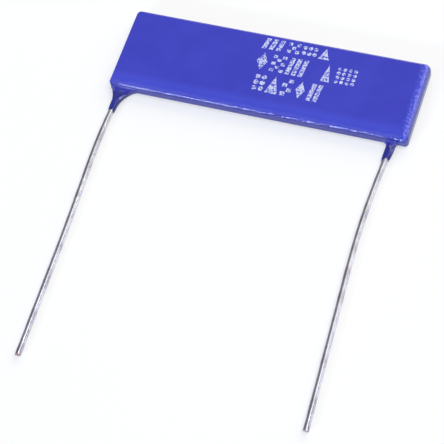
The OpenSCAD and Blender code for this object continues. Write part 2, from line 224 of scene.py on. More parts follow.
@dataclass(frozen=True)
class BlueEpoxy:
    """Glossy blue dipped epoxy with a faint orange peel.

    The pairs from right_end to sleeve are distances in metres, along +X or
    along -Y from the middle of the part, between which the skin changes.
    """

    colour: Triple = linear(61, 63, 189)
    pale: Triple = linear(64, 67, 194)
    # Painted light: a lighter blue laid on the rounded shoulders of the right end and the lead edge
    painted_shoulder_light: Triple = linear(80, 90, 226)
    # Darker blue: painted shade on the lead wall and the right end wall; on the sleeves the thin coat's
    # own darker tone together with painted shade
    thin: Triple = linear(42, 44, 142)
    roughness: float = 0.15
    unevenness: float = 0.08
    rim_polish: float = 0.04
    sleeve_polish: float = 0.05
    specular: float = 0.75
    clouds: Pair = (0.3, 0.7)
    right_end: Pair = (0.0193, 0.0206)
    end_wall: Pair = (0.0206, 0.02088)
    lead_band: Pair = (0.0036, 0.005)
    lead_rim: Pair = (0.0046, 0.0056)
    lead_wall: Pair = (0.0058, 0.0061)
    sleeve: Pair = (0.0061, 0.0071)
    peel_depth: float = 0.000008
    cloud_waves: float = 260.0
    peel_waves: float = 900.0
    grain_waves: float = 3600.0
    pebble_waves: float = 2300.0
    sleeve_waves: Triple = (1300.0, 520.0, 1300.0)
    face_grain: float = 0.2
    rim_grain: float = 6.0
    end_pebbles: float = 36.0
    sleeve_pebbles: float = 26.0
    # Share of painted light on the lead edge's shoulder, then shares of painted shade on the lead wall
    # and the right end wall
    lead_shoulder_light: float = 0.4
    lead_wall_shade: float = 0.3
    end_wall_shade: float = 0.7

    def build(self) -> Material:
        """Makes the finish.

        Returns:
            The material.
        """
        tree = ShaderTree("blue_epoxy")
        axes = tree.node("ShaderNodeSeparateXYZ", {0: tree.place()})
        along, down = axes.out("X"), axes.out("Y") * -1.0
        right_end, end_wall = along.step(*self.right_end), along.step(*self.end_wall)
        wall, sleeve = down.step(*self.lead_wall), down.step(*self.sleeve)
        rim = tree.maths("MAXIMUM", right_end, down.step(*self.lead_rim))

        grain = self.face_grain + self.rim_grain * rim
        pebbles = self.end_pebbles * right_end * (1.0 - end_wall)
        peel = tree.noise(self.peel_waves, 1.0) + grain * tree.noise(self.grain_waves, 1.0)
        peel = peel + pebbles * tree.noise(self.pebble_waves, 2.0)
        drawn_out = tree.noise(1.0, 1.0, tree.stretched(self.sleeve_waves))
        peel = peel + self.sleeve_pebbles * sleeve * drawn_out

        cloud = tree.noise(self.cloud_waves, 2.0)
        skin = tree.mix(cloud.step(*self.clouds), self.colour, self.pale)
        # Painted light: lighter blue on the lead edge's shoulder band and over the right end's shoulder
        band = self.lead_shoulder_light * down.step(*self.lead_band) * (1.0 - wall)
        painted_shoulder_light = tree.maths("MAXIMUM", right_end, band)
        # Painted shade: darker blue on the lead wall and the right end wall; on the sleeves the thin
        # coat's own darker tone together with painted shade
        thin = tree.maths("MAXIMUM", sleeve, self.lead_wall_shade * wall + self.end_wall_shade * end_wall)
        colour = tree.mix(thin, tree.mix(painted_shoulder_light, skin, self.painted_shoulder_light), self.thin)
        polish = self.rim_polish * rim + self.sleeve_polish * sleeve
        roughness = self.roughness + self.unevenness * (cloud - 0.5) - polish
        normal = tree.bump(peel, self.peel_depth)
        return tree.principled(colour, roughness, normal, specular=self.specular)


@dataclass(frozen=True)
class TinnedCopper:
    """Tin-plated copper wire with drawing lines along it and a bare cut end."""

    tin: Triple = linear(218, 213, 220)
    dull: Triple = linear(182, 176, 186)
    copper: Triple = linear(176, 104, 78)
    roughness: float = 0.31
    unevenness: float = 0.2
    bare_roughness: float = 0.15
    dulling: Pair = (0.42, 0.66)
    patch_waves: float = 420.0
    streak_waves: Triple = (9000.0, 260.0, 9000.0)
    streak_depth: float = 0.000004

    def build(self) -> Material:
        """Makes the finish.

        Returns:
            The material.
        """
        tree = ShaderTree("tinned_copper")
        streaks = tree.noise(1.0, 3.0, tree.stretched(self.streak_waves))
        patches = tree.noise(self.patch_waves, 3.0)
        bare = tree.node("ShaderNodeAttribute", attribute_name="bare_copper").out("Fac")
        tin = tree.mix(patches.step(*self.dulling), self.tin, self.dull)
        roughness = self.roughness + self.unevenness * (patches - 0.5)
        return tree.principled(
            tree.mix(bare, tin, self.copper),
            roughness + self.bare_roughness * bare,
            tree.bump(streaks, self.streak_depth),
            metallic=1.0,
        )


@dataclass(frozen=True)
class InnerFinish:
    """Finish of a sealed piece: one noise mixes two colours and sets roughness and bumps.

    Without a second colour the first one in a darker shade is mixed in.
    """

    name: str
    colour: Triple
    other: Triple | None = None
    shade: float = 0.8
    roughness: float = 0.5
    unevenness: float = 0.2
    metallic: float = 0.0
    waves: float = 9000.0
    octaves: float = 1.0
    depth: float = 0.000004
    speckling: Pair | None = None

    def build(self) -> Material:
        """Makes the finish.

        Returns:
            The material.
        """
        tree = ShaderTree(self.name)
        grain = tree.noise(self.waves, self.octaves)
        share = grain.step(*self.speckling) if self.speckling else grain
        other = self.other or tuple(self.shade * c for c in self.colour)
        colour = tree.mix(share, self.colour, other)
        roughness = self.roughness + self.unevenness * (grain - 0.5)
        return tree.principled(colour, roughness, tree.bump(grain, self.depth), self.metallic)


@dataclass(frozen=True)
class WhiteInk:
    """Thin white ink that lets the blue show through in fine specks."""

    ink: Triple = linear(205, 210, 243)
    under: Triple = linear(82, 90, 202)
    roughness: float = 0.5
    unevenness: float = 0.1
    thinning: float = 0.2
    baring: Pair = (0.44, 0.6)
    speck_waves: float = 4800.0
    thin_waves: float = 1500.0
    speck_depth: float = 0.000006

    def build(self) -> Material:
        """Makes the finish.

        Returns:
            The material.
        """
        tree = ShaderTree("white_ink")
        cover = tree.noise(self.speck_waves, 1.0)
        thin = tree.noise(self.thin_waves, 1.0)
        bare = (cover + self.thinning * (thin - 0.5)).step(*self.baring)
        colour = tree.mix(bare, self.ink, self.under)
        roughness = self.roughness + self.unevenness * (cover - 0.5)
        return tree.principled(colour, roughness, tree.bump(cover, self.speck_depth))


@dataclass(frozen=True)
class StudioWhite:
    """White paper that shows as pure white, keeps a soft shadow and throws little light back."""

    paper: Triple = (0.97, 0.97, 1.0)
    bounce: float = 0.32
    lift: float = 0.55

    def build(self) -> Material:
        """Makes the finish.

        Returns:
            The material.
        """
        tree = ShaderTree("studio_white")
        rays = tree.node("ShaderNodeLightPath")
        mirror = tree.maths("MAXIMUM", rays.out("Is Glossy Ray"), rays.out("Is Transmission Ray"))
        seen = tree.maths("MAXIMUM", rays.out("Is Camera Ray"), mirror)
        shade = tree.mix(seen, (self.bounce,) * 3, self.paper)
        paper = tree.node("ShaderNodeBsdfDiffuse", {"Color": shade})
        glow = tree.node("ShaderNodeEmission", {"Color": (1.0, 1.0, 1.0, 1.0), "Strength": 1.0})
        return tree.surface(tree.node("ShaderNodeMixShader", {0: seen * self.lift, 1: paper, 2: glow}))


# --- mesh helpers ---


def link_object(name: str, data: bpy.types.ID) -> Object:
    """Puts new data into the scene.

    Args:
        name: Name of the object.
        data: Its mesh, lamp or camera.

    Returns:
        The object.
    """
    made = bpy.data.objects.new(name, data)
    bpy.context.scene.collection.objects.link(made)
    return made


def band(lower: Sequence[int], upper: Sequence[int]) -> list[list[int]]:
    """Faces between two closed loops of corner numbers that run the same way round."""
    after = [*range(1, len(lower)), 0]
    return [[lower[j], lower[n], upper[n], upper[j]] for j, n in enumerate(after)]


def ramp(values: Array, start: float, width: float) -> Array:
    """Rise from 0 at the start to 1 a width further on, and level on both sides."""
    return np.clip((values - start) / width, 0, 1)


# --- coating ---


@dataclass(frozen=True)
class RunDown:
    """Coating that crept down one lead. A pair is for the -X and the +X side of the wire."""

    exit_x: float
    slant_deg: float
    length: float
    spread: Pair
    neck: Pair
    bulge: Pair
    lean: float
    dip: float
    pull: Pair = (0.75, 1.15)
    ragged: tuple[Triple, ...] = ()

    def either(self, pair: Pair, turn: float) -> float:
        """Value between the two of a pair, at an angle round the wire."""
        share = (1 + cos(turn)) / 2
        return pair[0] * (1 - share) + pair[1] * share

    def tip(self, turn: float) -> float:
        """Distance from the body's edge to the ragged tip, at an angle round the wire."""
        front = max(0.0, sin(turn)) ** 2
        torn = sum(a * sin(n * turn + p) for a, n, p in self.ragged)
        return self.length + self.lean * cos(turn) - self.dip * front + torn

    def axis(self) -> Array:
        """Direction of the wire, away from the body."""
        a = radians(self.slant_deg)
        return np.array([sin(a), -cos(a), 0.0])

    def across(self) -> Array:
        """Direction across the wire, in the plane of the body."""
        a = radians(self.slant_deg)
        return np.array([cos(a), sin(a), 0.0])


@dataclass(frozen=True)
class Swell:
    """Where and how far the skin departs from the plain slab, in millimetres.

    The lead edge's shoulder swells and sinks along its length, and the low
    corner at the left end of that edge is drawn out square. Each pair is the
    start and the width of a rise.
    """

    near: Pair = (3.4, 1.2)
    low: Pair = (0.9, 0.4)
    high: Pair = (0.0, 0.25)
    outward: float = 0.8
    upward: float = 0.9
    corner: Pair = (20.2, 0.5)
    corner_top: float = 0.46
    corner_reach: float = 5.6
    corner_edge: float = -6.1
    corner_pull: float = 0.67


@dataclass(frozen=True)
class EpoxyCoating:
    """The dipped coating: a soft-edged slab that runs down both wires."""

    half_length: float = 20.925
    half_height: float = 6.1
    thickness: float = 2.0
    wire_radius: float = 0.405
    wire_level: float = 0.605
    tip_skin: float = 0.07
    torn_skin: float = 0.012
    tuck: float = -0.06
    heel: tuple[float, ...] = (0.45, 0.45, 0.15, 0.45)
    shoulder_width: tuple[float, ...] = (0.9, 0.35, 0.35, 2.0)
    shoulder_drop: tuple[float, ...] = (0.8, 0.35, 0.35, 0.85)
    corner_radius: tuple[float, ...] = (0.65, 0.55, 0.25, 0.5)
    corner_opening: float = 0.2
    flat_insets: Pair = (1.2, 0.5)
    side_pitch: float = 0.4
    lead_pitch: float = 0.16
    corner_steps: int = 18
    heel_steps: int = 8
    wall_steps: int = 6
    shoulder_steps: int = 22
    footprint_rise: int = 2
    blend_steps: int = 16
    sleeve_shares: tuple[float, ...] = (0.25, 0.5, 0.7, 0.85, 0.94, 0.985, 1.0)
    border_corner_deg: float = 38.0
    crease_deg: float = 50.0
    side_sink: float = 0.35
    top_sink: float = 0.9
    arrival: float = 1.25
    lead_depth: float = 0.75
    swell: Swell = Swell()
    waves: tuple[Triple, ...] = (
        (0.014, 7.3, 0.4),
        (0.010, 3.1, 2.1),
        (0.006, 1.7, 4.4),
        (0.006, 0.67, 1.0),
        (0.004, 0.43, 2.7),
    )
    run_downs: tuple[RunDown, ...] = (
        RunDown(
            exit_x=-19.33, slant_deg=-2.9, length=3.83, spread=(0.95, 2.0), neck=(2.1, 2.9),
            bulge=(0.14, 0.1), lean=0.07, dip=0.23, pull=(0.4, 1.15),
            ragged=((0.05, 3.0, 1.9), (0.04, 5.0, 0.5)),
        ),
        RunDown(
            exit_x=18.77, slant_deg=-3.1, length=3.02, spread=(0.8, 0.5), neck=(0.8, 0.8),
            bulge=(0.12, 0.2), lean=-0.22, dip=0.36,
            ragged=((0.05, 4.0, 1.5), (0.04, 7.0, 0.4)),
        ),
    )

    def ring(self, inset: Sequence[float], level: Sequence[float]) -> Array:
        """Closed loop of points round the slab.

        Args:
            inset: Distance in from the outline at the right, far, left and lead edge.
            level: Height of the loop on each side.

        Returns:
            Points of the loop, from the right end towards the far edge.
        """
        f = np.linspace(0, 1, self.corner_steps + 1)
        corners: list[Array] = []
        for i in range(4):
            sx = 1 if i in (0, 3) else -1
            sy = 1 if i < 2 else -1
            in_x = inset[0] if sx > 0 else inset[2]
            in_y = inset[1] if sy > 0 else inset[3]
            r = self.corner_radius[i] + self.corner_opening * (in_x + in_y)
            a = np.radians(90 * (i + f))
            x = sx * (self.half_length - in_x - r) + r * np.cos(a)
            y = sy * (self.half_height - in_y - r) + r * np.sin(a)
            z = level[i] * (1 - f) + level[(i + 1) % 4] * f
            corners.append(np.stack([x, y, z], 1))
        loop: list[Array] = []
        for i in range(4):
            side = (i + 1) % 4
            length = 2 * (self.half_height if side in (0, 2) else self.half_length)
            pitch = self.lead_pitch if side == 3 else self.side_pitch
            t = np.linspace(0, 1, int(length / pitch) + 1)[1:-1, None]
            loop += [corners[i], corners[i][-1] * (1 - t) + corners[side][0] * t]
        return np.concatenate(loop)

    def rings(self) -> Array:
        """Shapes the slab from the back face up to the front face.

        Returns:
            Its loops, as one grid of points.
        """
        heel, drop = np.array(self.heel), np.array(self.shoulder_drop)
        width, none = np.array(self.shoulder_width), np.zeros(4)
        plan = [(heel + s, none) for s in self.flat_insets]
        for k in range(self.heel_steps + 1):
            a = pi / 2 * k / self.heel_steps
            plan.append((heel * (1 - sin(a)), heel * (1 - cos(a))))
        for k in range(1, self.wall_steps):
            f = k / self.wall_steps
            plan.append((none, heel * (1 - f) + (self.thickness - drop) * f))
        for k in range(self.shoulder_steps + 1):
            t = sin(pi / 2 * (1 - k / self.shoulder_steps))
            fall = 1 - sqrt(max(0.0, 1 - t**3))
            plan.append((width * (1 - t), self.thickness - drop * fall))
        plan += [(width + s, none + self.thickness) for s in reversed(self.flat_insets)]
        return self.soften(np.stack([self.ring(inset, level) for inset, level in plan]))

    def soften(self, grid: Array) -> Array:
        """Moves the points of the plain slab as its swell says.

        Args:
            grid: The slab's loops.

        Returns:
            The same grid with its points moved.
        """
        x, y, z = grid[..., 0], grid[..., 1], grid[..., 2]
        swell = self.swell
        rise = ramp(z, *swell.low) * ramp(self.thickness - z, *swell.high)
        waves = sum(a * np.sin(2 * pi * x / length + phase) for a, length, phase in self.waves)
        waves = waves * ramp(-y, *swell.near) * rise
        corner = ramp(-x, *swell.corner) * (z < swell.corner_top) * (y < -swell.corner_reach)
        squared = swell.corner_edge + (y - swell.corner_edge) * (1 - swell.corner_pull * corner)
        grid[..., 1] = np.where(corner > 0, squared, y - swell.outward * waves)
        grid[..., 2] = z + swell.upward * waves
        return grid

    def tube_point(self, run: RunDown, s: float, turn: float, skin: float) -> Array:
        """Point on the sleeve of coating round a wire.

        Args:
            run: The run-down that the sleeve belongs to.
            s: Distance along the wire from the body's edge.
            turn: Angle round the wire, in radians from its +X side.
            skin: Thickness of the sleeve there.

        Returns:
            The point in millimetres.
        """
        far = run.tip(turn)
        full = 1 - (min(max(s, 0.0), far) / far) ** 4
        c, v = cos(turn), sin(turn)
        bulge = run.either(run.bulge, turn)
        core = self.wire_radius + skin
        start = np.array([run.exit_x, -self.half_height, self.wire_level])
        across = (core + bulge * full) * c
        return start + run.axis() * s + run.across() * across + np.array([0, 0, core * v])

    def footprint(self, row: Array, run: RunDown) -> tuple[int, int]:
        """Where a run-down leaves the body.

        Args:
            row: The loop at half the footprint's height.
            run: The run-down that stands there.

        Returns:
            The first and last column of its footprint.
        """
        lead_side = row[:, 1] < -self.half_height + self.lead_depth
        sleeve = self.wire_radius + self.tip_skin
        left = run.exit_x - sleeve - run.bulge[0] - run.spread[0]
        right = run.exit_x + sleeve + run.bulge[1] + run.spread[1]
        inside = np.flatnonzero(lead_side & (row[:, 0] > left) & (row[:, 0] < right))
        return int(inside[0]), int(inside[-1])

    def border(
        self, span: tuple[int, int], low: int, high: int
    ) -> tuple[list[tuple[int, int]], list[float]]:
        """Border of a footprint, in order round the wire.

        Args:
            span: First and last column of the footprint.
            low: Number of the loop under it.
            high: Number of the loop over it.

        Returns:
            The grid places along the border and their angles round the wire.
        """
        first, last = span
        sides = (
            [(k, last) for k in range(low, high)],
            [(high, m) for m in range(last, first, -1)],
            [(k, first) for k in range(high, low, -1)],
            [(low, m) for m in range(first, last)],
        )
        corner = radians(self.border_corner_deg)
        stops = (-corner, corner, pi - corner, pi + corner, 2 * pi - corner)
        places: list[tuple[int, int]] = []
        turns: list[float] = []
        for side, start, end in zip(sides, stops, stops[1:]):
            for n, place in enumerate(side):
                places.append(place)
                turns.append(start + (end - start) * n / len(side))
        return places, turns

    def blend_point(self, run: RunDown, foot: Array, turn: float, u: float) -> Array:
        """Point on the skin between the body and the neck of a sleeve.

        Args:
            run: The run-down that the skin belongs to.
            foot: Point of the footprint's border that the curve starts from.
            turn: Angle of that point round the wire.
            u: Share of the way to the neck.

        Returns:
            The point in millimetres.
        """
        h00, h10 = 2 * u**3 - 3 * u**2 + 1, u**3 - 2 * u**2 + u
        h01, h11 = -2 * u**3 + 3 * u**2, u**3 - u**2
        centre = np.array([run.exit_x, -self.half_height, self.wire_level])
        down = run.either(run.neck, turn)
        neck = self.tube_point(run, down, turn, self.tip_skin)
        top = max(0.0, sin(turn))
        sink = np.array([1.0, self.side_sink * (1 - top), 1.0 + self.top_sink * top])
        leave = (centre - foot) * sink * run.either(run.pull, turn)
        arrive = run.axis() * down * self.arrival
        return h00 * foot + h10 * leave + h01 * neck + h11 * arrive

    def draw_down(
        self, run: RunDown, feet: Sequence[Array], turns: Sequence[float]
    ) -> list[Array]:
        """Shapes one run-down from its footprint on the body to its torn tip.

        Args:
            run: The run-down to shape.
            feet: Points of the footprint's border.
            turns: Angle of each of them round the wire.

        Returns:
            The loops from the body to the tip.
        """
        loops = [
            [self.blend_point(run, foot, turn, k / self.blend_steps) for foot, turn in zip(feet, turns)]
            for k in range(1, self.blend_steps + 1)
        ]
        reach = [(run.either(run.neck, t), run.tip(t), t) for t in turns]
        for f in self.sleeve_shares:
            skin = self.tip_skin * (1 - f**6) + self.torn_skin * f**6
            loops.append([self.tube_point(run, a + (b - a) * f, t, skin) for a, b, t in reach])
        loops.append([self.tube_point(run, b, t, self.tuck) for _, b, t in reach])
        return [np.array(loop) for loop in loops]

    def skin(self) -> tuple[Array, list[list[int]]]:
        """Shapes the whole closed skin.

        Returns:
            Its corners in millimetres and the corner numbers of each face.
        """
        grid = self.rings()
        rows, columns = grid.shape[:2]
        number = np.arange(rows * columns).reshape(rows, columns).tolist()
        points = [grid.reshape(-1, 3)]
        count = rows * columns
        faces = [number[0][::-1], number[-1]]
        low = len(self.flat_insets) + self.heel_steps // 2
        high = len(self.flat_insets) + self.heel_steps + self.wall_steps + self.footprint_rise
        holes: list[tuple[int, int]] = []
        for run in self.run_downs:
            holes.append(self.footprint(grid[(low + high) // 2], run))
            places, turns = self.border(holes[-1], low, high)
            previous = [number[k][m] for k, m in places]
            for loop in self.draw_down(run, [grid[place] for place in places], turns):
                current = list(range(count, count + len(loop)))
                points.append(loop)
                count += len(loop)
                faces += band(previous, current)
                previous = current
            faces.append(previous)
        for k in range(rows - 1):
            for m, quad in enumerate(band(number[k], number[k + 1])):
                if not (low <= k < high and any(a <= m < b for a, b in holes)):
                    faces.append(quad)
        return np.concatenate(points), faces

    def build(self, finish: BlueEpoxy) -> Object:
        """Makes the coating as one closed piece.

        Args:
            finish: The epoxy's finish.

        Returns:
            The coating, in place of its solid.
        """
        points, faces = self.skin()
        mesh = bpy.data.meshes.new("epoxy_coating_skin")
        mesh.from_pydata((points * MM).tolist(), [], faces)
        work = bmesh.new()
        work.from_mesh(mesh)
        bmesh.ops.remove_doubles(work, verts=work.verts, dist=SAME_POINT)
        bmesh.ops.recalc_face_normals(work, faces=work.faces)
        work.to_mesh(mesh)
        work.free()
        mesh.shade_smooth()
        mesh.set_sharp_from_angle(angle=radians(self.crease_deg))
        mesh.materials.append(finish.build())
        made = link_object("epoxy_coating_skin", mesh)
        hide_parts("epoxy_coating")
        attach(made, BODY)
        return made


# --- leads ---


@dataclass(frozen=True)
class Bend:
    """A straight run of wire and the bend that follows it."""

    run: float
    radius: float = 0.0
    turn_deg: float = 0.0


@dataclass(frozen=True)
class LeadWire:
    """One lead: a drawn wire that leaves the body, bends gently and ends in a cut."""

    name: str
    node: str
    exit_x: float
    exit_deg: float
    bends: tuple[Bend, ...]
    edge_y: float = -6.1
    level: float = 0.605
    radius: float = 0.405
    inside: float = 4.8
    straight_step: float = 0.8
    bend_step: float = 0.5
    end_steps: tuple[float, ...] = (0.5, 0.25, 0.03)
    cut_length: float = 0.45
    crease_deg: float = 45.0
    pinch: float = 0.0
    slant: float = 0.0
    bare: float = 1.0

    def path(self) -> Array:
        """Lays out the wire.

        Returns:
            Points along its middle line, in millimetres.
        """
        a = radians(self.exit_deg)
        way = np.array([sin(a), -cos(a)])
        place = np.array([self.exit_x, self.edge_y]) - self.inside * way
        points = [place]
        for i, bend in enumerate(self.bends):
            way = np.array([sin(a), -cos(a)])
            run = bend.run + (self.inside if i == 0 else 0.0)
            count = max(2, int(run / self.straight_step))
            shares = np.linspace(0, 1, count + 1)[1:]
            if i == len(self.bends) - 1:
                shares = np.append(shares[:-1], [1 - left / run for left in self.end_steps] + [1.0])
            points += [place + way * run * f for f in shares]
            place = place + way * run
            if bend.turn_deg:
                turn = radians(bend.turn_deg)
                reach = copysign(bend.radius, turn)
                steps = max(6, int(bend.radius * abs(turn) / self.bend_step))
                middle = place + reach * np.array([cos(a), sin(a)])
                for b in a + turn * np.linspace(0, 1, steps + 1)[1:]:
                    points.append(middle - reach * np.array([cos(b), sin(b)]))
                place, a = points[-1], a + turn
        return np.array([[x, y, self.level] for x, y in points])

    def build(self, finish: Material) -> Object:
        """Makes the wire from its tree.

        Args:
            finish: The plated wire's material.

        Returns:
            The wire, in place of its solid.
        """
        path = self.path()
        spine = bpy.data.meshes.new(self.name + "_spine")
        spine.from_pydata((path * MM).tolist(), [(i, i + 1) for i in range(len(path) - 1)], [])
        made = link_object(self.name, spine)
        length = float(np.linalg.norm(np.diff(path, axis=0), axis=1).sum()) * MM
        way = (path[-1] - path[-2]) / np.linalg.norm(path[-1] - path[-2])
        values = {
            "Wire radius": self.radius * MM,
            "Wire length": length,
            "Wire level": self.level * MM,
            "Cut length": self.cut_length * MM,
            "Pinch": self.pinch,
            "Slant": self.slant,
            "Cut end": tuple(path[-1] * MM),
            "Wire way": tuple(way),
            "Bare copper": self.bare,
            "Material": finish,
        }
        evaluate_tree(made, wire_tree(), values)
        made.data.set_sharp_from_angle(angle=radians(self.crease_deg))
        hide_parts(self.node)
        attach(made, BODY)
        return made


class GeometryTree(Tree):
    """A geometry tree with named inputs."""

    def __init__(self, name: str, inputs: dict[str, Sequence[str]]) -> None:
        """Makes the tree.

        Args:
            name: Name of the tree.
            inputs: Names of its inputs of each type, beside geometry and material.
        """
        super().__init__(bpy.data.node_groups.new(name, "GeometryNodeTree"))
        face = self.tree.interface
        for kind, labels in ({"Geometry": ["Geometry"], "Material": ["Material"]} | inputs).items():
            for label in labels:
                face.new_socket(label, in_out="INPUT", socket_type="NodeSocket" + kind)
        face.new_socket("Geometry", in_out="OUTPUT", socket_type="NodeSocketGeometry")
        self.source = self.node("NodeGroupInput")

    def __getitem__(self, name: str) -> Signal:
        """The named input."""
        return self.source.out(name)

    def vector(self, operation: str, a: Any, b: Any) -> Signal:
        """Adds a Vector Math node for two vectors."""
        return self.node("ShaderNodeVectorMath", {0: a, 1: b}, operation=operation)

    def store(self, geometry: Signal, name: str, value: Signal) -> Signal:
        """Keeps a number on each point under a name."""
        inputs = {"Geometry": geometry, "Name": name, "Value": value}
        return self.node("GeometryNodeStoreNamedAttribute", inputs, data_type="FLOAT", domain="POINT")

    def finish(self, geometry: Signal) -> NodeTree:
        """Ends the tree with Realize Instances and Set Material.

        Args:
            geometry: What the tree has made.

        Returns:
            The whole tree.
        """
        real = self.node("GeometryNodeRealizeInstances", {"Geometry": geometry})
        inputs = {"Geometry": real, "Material": self["Material"]}
        self.node("NodeGroupOutput", {"Geometry": self.node("GeometryNodeSetMaterial", inputs)})
        return self.tree


def wire_tree() -> NodeTree:
    """Tree that sweeps a wire along its spine and shapes its cut end.

    Returns:
        The geometry tree, made once and shared by both leads.
    """
    if "swept_wire" in bpy.data.node_groups:
        return bpy.data.node_groups["swept_wire"]
    numbers = ("Wire radius", "Wire length", "Wire level", "Cut length", "Pinch", "Slant", "Bare copper")
    build = GeometryTree("swept_wire", {"Float": numbers, "Vector": ("Cut end", "Wire way")})
    curve = build.node("GeometryNodeMeshToCurve", {"Mesh": build["Geometry"]})
    to_go = build["Wire length"] - build.node("GeometryNodeSplineParameter").out("Length")
    span = {"Value": to_go, "From Min": CUT_FACE, "From Max": 0.0}
    at_cut = build.node("ShaderNodeMapRange", span)
    curve = build.store(curve, "near_cut", to_go.step(build["Cut length"], 0.0))
    curve = build.store(curve, "bare_copper", at_cut * build["Bare copper"])
    circle = {"Resolution": WIRE_SIDES, "Radius": build["Wire radius"]}
    profile = build.node("GeometryNodeCurvePrimitiveCircle", circle)
    sweep = {"Curve": curve, "Profile Curve": profile, "Fill Caps": True}
    swept = build.node("GeometryNodeCurveToMesh", sweep)

    near = build.node("GeometryNodeInputNamedAttribute", {"Name": "near_cut"}, data_type="FLOAT")
    place = build.node("GeometryNodeInputPosition")
    height = build.node("ShaderNodeSeparateXYZ", {0: place}).out("Z")
    squeeze = (height - build["Wire level"]) * build["Pinch"] * near * -1.0
    down = build.node("ShaderNodeCombineXYZ", {"Z": squeeze})
    away = build.vector("SUBTRACT", place, build["Cut end"])
    across = build.vector("CROSS_PRODUCT", build["Wire way"], (0.0, 0.0, 1.0))
    aside = build.vector("DOT_PRODUCT", away, across).out("Value")
    lean = {0: build["Wire way"], "Scale": aside * build["Slant"] * near}
    leaning = build.node("ShaderNodeVectorMath", lean, operation="SCALE")
    shift = build.vector("ADD", down, leaning)
    shaped = build.node("GeometryNodeSetPosition", {"Geometry": swept, "Offset": shift})
    smooth = {"Geometry": shaped, "Shade Smooth": True}
    return build.finish(build.node("GeometryNodeSetShadeSmooth", smooth))


def figure_tree() -> NodeTree:
    """Tree that prints rows of one plain figure as thin flat prisms.

    Returns:
        The geometry tree.
    """
    build = GeometryTree(
        "printed_figure",
        {
            "Int": ("Sides", "Across", "Up"),
            "Float": ("Turn", "Slant", "Ink height"),
            "Vector": ("Radii", "Pitch", "Origin"),
            "Bool": ("Chequered",),
        },
    )
    index = build.node("GeometryNodeInputIndex")
    column = build.maths("MODULO", index, build["Across"])
    row = build.maths("FLOOR", build.maths("DIVIDE", index, build["Across"]))
    cell = build.node("ShaderNodeCombineXYZ", {"X": column, "Y": row})
    place = build.vector("ADD", build["Origin"], build.vector("MULTIPLY", cell, build["Pitch"]))
    grid = {"Count": build["Across"] * build["Up"], "Position": place}
    points = build.node("GeometryNodePoints", grid)
    odd = build.maths("MODULO", column + row, 2.0)
    left_out = {"Geometry": points, "Selection": odd * build["Chequered"]}
    kept = build.node("GeometryNodeDeleteGeometry", left_out, domain="POINT")

    sizes = {"Vertices": build["Sides"], "Radius": 1.0, "Depth": build["Ink height"]}
    prism = build.node("GeometryNodeMeshCylinder", sizes, fill_type="NGON")
    turn = build.node("ShaderNodeCombineXYZ", {"Z": build["Turn"]})
    turned = build.node("GeometryNodeTransform", {"Geometry": prism, "Rotation": turn})
    scaled = build.node("GeometryNodeTransform", {"Geometry": turned, "Scale": build["Radii"]})
    spot = build.node("ShaderNodeSeparateXYZ", {0: build.node("GeometryNodeInputPosition")})
    shift = build.node("ShaderNodeCombineXYZ", {"X": spot.out("Y") * build["Slant"]})
    figure = build.node("GeometryNodeSetPosition", {"Geometry": scaled, "Offset": shift})
    prints = {"Points": kept, "Instance": figure}
    return build.finish(build.node("GeometryNodeInstanceOnPoints", prints))


def evaluate_tree(made: Object, tree: NodeTree, values: dict[str, Any]) -> None:
    """Runs a tree on an object and leaves the result as its plain mesh.

    Args:
        made: The object, whose mesh is the tree's input and then its result.
        tree: The geometry tree.
        values: Value of each named input.
    """
    modifier = made.modifiers.new("shape", "NODES")
    modifier.node_group = tree
    names = {
        item.name: item.identifier
        for item in tree.interface.items_tree
        if item.item_type == "SOCKET" and item.in_out == "INPUT"
    }
    for name, value in values.items():
        modifier[names[name]] = value
    graph = bpy.context.evaluated_depsgraph_get()
    graph.update()
    result = bpy.data.meshes.new_from_object(
        made.evaluated_get(graph), preserve_all_data_layers=True, depsgraph=graph
    )
    made.modifiers.remove(modifier)
    made.data = result


# --- marking ---


# Plain figures that the marking is made of.
Figure = Enum("Figure", "BARS DOTS TILES WEDGE LOZENGE")


@dataclass(frozen=True)
class Mark:
    """One figure of the marking, on a grid of square cells."""

    figure: Figure
    cell: int
    cells: int
    across: int = 1
    up: int = 1


